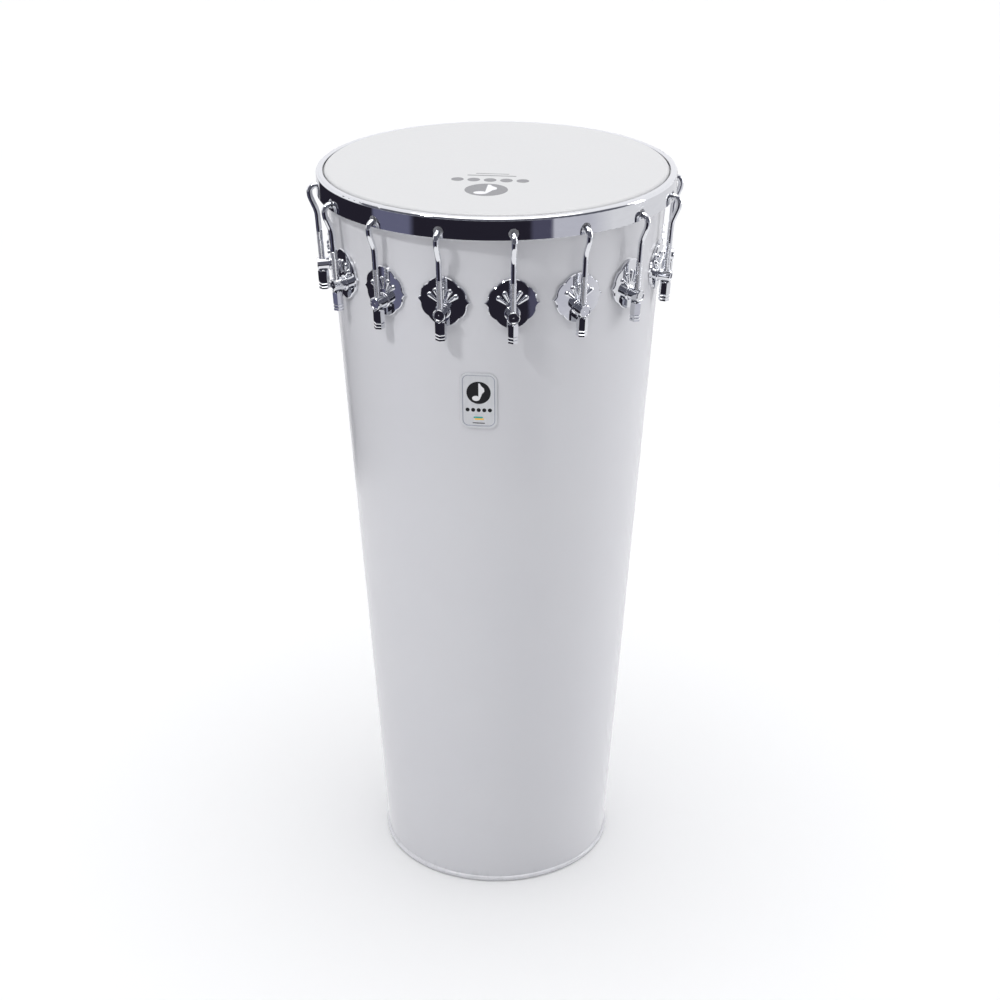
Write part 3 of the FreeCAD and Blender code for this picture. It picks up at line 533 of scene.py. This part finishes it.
def paint_nodes():
    """Every CAD node that shows gets its material."""
    finishes = {
        "shell": white_paint(),
        "counter_hoop": chrome("chromed_hoop", (0.80, 0.81, 0.84), 0.006),
        "badge": lacquered_plate(),
        "flesh_hoop": plain_metal(
            "aluminium_channel", (0.62, 0.62, 0.63), (0.76, 0.76, 0.77), 0.32, (1, 1, 12)
        ),
        "head_resin": resin_material(),
        "lug_screws": plain_metal("zinc_screws", (0.50, 0.51, 0.54), (0.66, 0.66, 0.66), 0.3, (1, 1, 1)),
        "nut_washers": chrome("chromed_washers", (0.80, 0.81, 0.84), 0.004, 0.03),
    }
    finishes["lug_washers"] = finishes["lug_screws"]
    wire = plain_metal("drawn_wire", (0.40, 0.40, 0.41), (0.52, 0.52, 0.53), 0.38, (1, 1, 8))
    finishes["base_edge_wire"] = finishes["bearing_edge_wire"] = wire
    kinds = {"lug_": cast_chrome, "hook_": rod_chrome, "tuning_nut_": rod_chrome}
    for name, node in frame["nodes"].items():
        kind = name.rstrip("0123456789")
        material = finishes.get(name) or kinds.get(kind)
        if material:
            node.material_slots[0].material = material


# ---------------------------------------------------------------- studio

CAMERA_AZIMUTH = math.radians(6.21)
CAMERA_DISTANCE = 2.0144
CAMERA_HEIGHT = 1.3521
CAMERA_PITCH = math.radians(24.86)
CAMERA_LENS = 72.01
CAMERA_SHIFT = 0.0034

LIGHT_AIM = Vector((0, 0, 0.55))
CEILING_POWER = 1.95
CEILING_ANGLE = math.radians(55)
FLOOR_RADIUS, FLOOR_LEVEL = 9000, -0.2
CARDS_RADIUS, CARDS_LEVEL = 6000, -0.1

# Where one tone turns into the next: metres from the drum, degrees, and parts of a direction.
NEAR_FLOOR = (0.95, 1.1)
RIGHT_FLOOR = (1.25, 1.7)
RIGHT_FLOOR_SIDE = (math.radians(33), math.radians(37))
FAR_FLOOR = (3.6, 5.0)
WALL_EDGE = (-0.1, 0.15)
CEILING_EDGE = (0.66, 0.78)

FLOOR_TONE = (0.95, 0.95, 0.97, 1)
FAR_TONE = (0.40, 0.41, 0.45, 1)
ROOM_TONE = (0.12, 0.122, 0.15, 1)
WALL_TONE = (1.0, 1.0, 1.02, 1)
ROOM_LIGHT = (0.45, 0.455, 0.47, 1)
BACKDROP = (1, 1, 1, 1)

WHITE_CARD = (0.80, 0.80, 0.82, 1)
PALE_CARD = (0.56, 0.56, 0.62, 1)
BLACK_CARD = (0.020, 0.018, 0.028, 1)
BLUE_CARD = (0.140, 0.142, 0.220, 1)
NAVY_CARD = (0.080, 0.078, 0.123, 1)
# Degrees to the right of the photo camera, from and to.
STUDIO_CARDS = [
    (-179, -152, WHITE_CARD),
    (-148, -83, BLACK_CARD),
    (-80, -55, BLUE_CARD),
    (-51, 20, BLACK_CARD),
    (22, 33.5, NAVY_CARD),
    (34.5, 58, PALE_CARD),
    (76, 179, WHITE_CARD),
]


def round_the_drum(azimuth, distance, height):
    """A place at an azimuth in degrees counted from the photo camera's, positive to its right."""
    angle = CAMERA_AZIMUTH + math.radians(azimuth)
    return Vector((distance * math.sin(angle), -distance * math.cos(angle), height))


def make_camera():
    """The camera, level across, looking down at the drum."""
    data = bpy.data.cameras.new("camera")
    data.lens = CAMERA_LENS
    data.sensor_width = 36
    data.shift_x = CAMERA_SHIFT
    camera = bpy.data.objects.new("camera", data)
    camera.location = round_the_drum(0, CAMERA_DISTANCE, CAMERA_HEIGHT)
    camera.rotation_euler = (math.pi / 2 - CAMERA_PITCH, 0, CAMERA_AZIMUTH)
    bpy.context.scene.collection.objects.link(camera)
    bpy.context.scene.camera = camera


def make_light(name, place, size, power):
    """A rectangular white softbox aimed at the drum."""
    data = bpy.data.lights.new(name, "AREA")
    data.shape = "RECTANGLE"
    data.size, data.size_y = size
    data.energy = power
    light = bpy.data.objects.new(name, data)
    light.location = place
    light.rotation_euler = (LIGHT_AIM - place).to_track_quat("-Z", "Y").to_euler()
    bpy.context.scene.collection.objects.link(light)
    return light


def make_floor():
    """A wide pale floor."""
    floor = new_piece("floor", *plate_round(FLOOR_RADIUS, FLOOR_LEVEL))
    pale = Material("pale_floor", Specular_IOR_Level=0.0)
    pale.colour(pale.noise(0.7, 2), (0.94, 0.94, 0.94), (0.95, 0.95, 0.95))
    pale.shader.inputs["Roughness"].default_value = 1.0
    paint_with(floor, pale.made)
    floor.visible_glossy = False


def make_reflector():
    """What the chrome mirrors below the horizon: dark and pale cards side by side round the drum.
    They stay where they are when a view moves the camera, and only gloss sees them."""
    reflector = new_piece("reflector", *plate_round(CARDS_RADIUS, CARDS_LEVEL))
    card = Material("studio_cards")
    apart = card.add("SeparateXYZ", card.place)
    azimuth = card.maths("ARCTAN2", apart.outputs["X"], card.maths("MULTIPLY", apart.outputs["Y"], -1.0))
    azimuth = card.maths("SUBTRACT", azimuth, CAMERA_AZIMUTH)
    cards = card.add("ValToRGB", card.ranged(azimuth, 0.0, 1.0, -math.pi, math.pi))
    stops = cards.color_ramp.elements
    stops.remove(stops[1])
    stops[0].position = 0.0
    stops[0].color = WHITE_CARD
    for start, end, colour in STUDIO_CARDS:
        for spot in (start, end):
            stops.new((spot + 180) / 360).color = colour
    distance = card.add("VectorMath", card.place, operation="LENGTH").outputs["Value"]
    near = card.ranged(distance, 1.0, 0.0, *NEAR_FLOOR, smooth=True)
    near_and_right = card.maths(
        "MULTIPLY",
        card.ranged(distance, 1.0, 0.0, *RIGHT_FLOOR, smooth=True),
        card.ranged(azimuth, 0.0, 1.0, *RIGHT_FLOOR_SIDE),
    )
    white_floor = card.maths("MAXIMUM", near, near_and_right)
    seen = card.mixed(white_floor, cards.outputs["Color"], FLOOR_TONE)
    far = card.ranged(distance, 0.0, 1.0, *FAR_FLOOR, smooth=True)
    seen = card.mixed(far, seen, FAR_TONE)
    glow = card.add("Emission", seen, 1.0)
    output = card.tree.nodes["Material Output"]
    card.feed(output.inputs["Surface"], glow.outputs["Emission"])
    paint_with(reflector, card.made)
    reflector.visible_camera = False
    reflector.visible_diffuse = False
    reflector.visible_transmission = False
    reflector.visible_shadow = False


def plate_round(radius, level):
    """Vertices and faces of a flat disc."""
    return [(x, y, level) for x, y in disc(radius, steps=96)], [tuple(range(96))]


def make_world():
    """A pale room: soft grey light and a white backdrop, and for gloss a white wall behind the drum
    and a white ceiling."""
    world = bpy.data.worlds.new("studio")
    world.use_nodes = True
    bpy.context.scene.world = world
    room = Nodes(world.node_tree, "Generated")
    path = room.add("LightPath")
    apart = room.add("SeparateXYZ", room.place)
    ahead = math.cos(CAMERA_AZIMUTH), math.sin(CAMERA_AZIMUTH)
    behind = room.maths(
        "SUBTRACT",
        room.maths("MULTIPLY", apart.outputs["Y"], ahead[0]),
        room.maths("MULTIPLY", apart.outputs["X"], ahead[1]),
    )
    wall = room.ranged(behind, 0.0, 1.0, *WALL_EDGE, smooth=True)
    ceiling = room.ranged(apart.outputs["Z"], 0.0, 1.0, *CEILING_EDGE, smooth=True)
    bright = room.maths("MAXIMUM", wall, ceiling)
    gloss = room.mixed(bright, ROOM_TONE, WALL_TONE)
    soft = room.mixed(path.outputs["Is Glossy Ray"], ROOM_LIGHT, gloss)
    seen = room.mixed(path.outputs["Is Camera Ray"], soft, BACKDROP)
    room.feed(world.node_tree.nodes["Background"].inputs["Color"], seen)


def make_sun():
    """The ceiling, one wide even light."""
    data = bpy.data.lights.new("ceiling", "SUN")
    data.energy = CEILING_POWER
    data.angle = CEILING_ANGLE
    bpy.context.scene.collection.objects.link(bpy.data.objects.new("ceiling", data))


def spare(light, *names):
    """Keeps a light off objects where its shadow or its glare would show."""
    spared = bpy.data.collections.new(light.name + "_spares")
    for name in names:
        spared.objects.link(bpy.data.objects[name])
    for member in spared.collection_objects:
        member.light_linking.link_state = "EXCLUDE"
    light.light_linking.receiver_collection = spared


def make_studio():
    """Camera, floor, cards and lights."""
    make_camera()
    make_floor()
    make_reflector()
    make_world()
    make_sun()
    key = make_light("key_softbox", round_the_drum(-50, 1.9, 2.5), (0.22, 0.22), 24)
    right = make_light("right_softbox", round_the_drum(98, 2.1, 1.0), (0.5, 1.6), 16)
    for light in (key, right):
        spare(light, "floor", "head_skin")
    bpy.context.scene.view_settings.view_transform = "Standard"


# ---------------------------------------------------------------- everything together

cast_chrome = chrome("chromed_casting", (0.82, 0.83, 0.86), 0.05)
rod_chrome = chrome("chromed_hardware", (0.82, 0.83, 0.86), 0.004)
ink = printed("black_ink", (0.004, 0.004, 0.007), 0.55)
light_ink = printed("light_ink", (0.66, 0.66, 0.68), 0.4)
# Bluish grey for the painted shade along the inside of the badge's rim.
rim_shade_paint = printed("rim_shade_paint", (0.30, 0.31, 0.38), 0.35)
teal_ink = printed("teal_ink", (0.03, 0.33, 0.30), 0.35)
amber_ink = printed("amber_ink", (0.80, 0.46, 0.05), 0.35)
head_ink = printed("grey_ink", (0.20, 0.20, 0.21), 0.45)

paint_with(make_head_skin(), film_material())
for thread in make_threads():
    paint_with(thread, rod_chrome)
make_prints()
paint_nodes()
make_studio()
